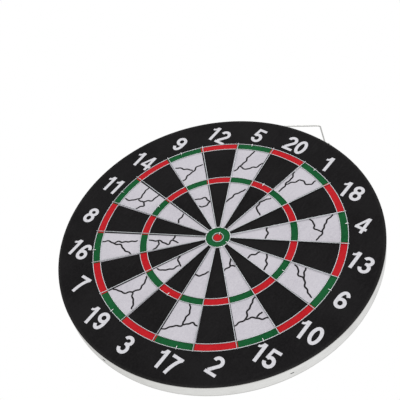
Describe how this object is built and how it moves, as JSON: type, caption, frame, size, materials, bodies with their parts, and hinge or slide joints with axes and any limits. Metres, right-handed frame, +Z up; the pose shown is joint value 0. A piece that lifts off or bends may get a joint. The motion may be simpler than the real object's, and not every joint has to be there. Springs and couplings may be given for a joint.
{
  "type": "dartboard",
  "caption": "Round wall-hung dartboard with flocked faces over steel sheet, a raised wire spider and a swinging wire hanger.",
  "frame": {"origin": "centre of the back face, on the wall", "axes": "+Z up through the 20, +Y into the wall, +X to the thrower's right"},
  "size_m": [0.305, 0.0159, 0.3311],
  "materials": {
    "front_flock": "matte",
    "back_flock": "matte",
    "band_paper": "matte",
    "core_paper": "matte",
    "tinplate": "satin",
    "spider_wire": "satin",
    "staple_wire": "satin",
    "hanger_wire": "satin"
  },
  "bodies": {
    "board": {"wound_paper_core": "core_paper", "front_steel_sheet": "tinplate", "back_steel_sheet": "tinplate", "front_flock_face": "front_flock", "back_flock_face": "back_flock", "edge_band": "band_paper", "double_outer_ring": "spider_wire", "double_inner_ring": "spider_wire", "treble_outer_ring": "spider_wire", "treble_inner_ring": "spider_wire", "outer_bull_ring": "spider_wire", "inner_bull_ring": "spider_wire", "radial_wire_01": "spider_wire", "radial_wire_02": "spider_wire", "radial_wire_03": "spider_wire", "radial_wire_04": "spider_wire", "radial_wire_05": "spider_wire", "radial_wire_06": "spider_wire", "radial_wire_07": "spider_wire", "radial_wire_08": "spider_wire", "radial_wire_09": "spider_wire", "radial_wire_10": "spider_wire", "radial_wire_11": "spider_wire", "radial_wire_12": "spider_wire", "radial_wire_13": "spider_wire", "radial_wire_14": "spider_wire", "radial_wire_15": "spider_wire", "radial_wire_16": "spider_wire", "radial_wire_17": "spider_wire", "radial_wire_18": "spider_wire", "radial_wire_19": "spider_wire", "radial_wire_20": "spider_wire", "double_ring_staples": "staple_wire", "treble_ring_staples": "staple_wire", "bull_ring_staples": "staple_wire", "edge_band_staples": "staple_wire", "hanger_staple_left": "staple_wire", "hanger_staple_right": "staple_wire"},
    "bail": {"hanger_bail": "hanger_wire"}
  },
  "joints": [
    {"name": "hanger_swing", "type": "hinge", "parent": "board", "child": "bail", "pos_m": [-0.00897, -0.0096, 0.15101], "axis": [0.9982, 0, 0.0593], "range_deg": [0, 102]}
  ]
}
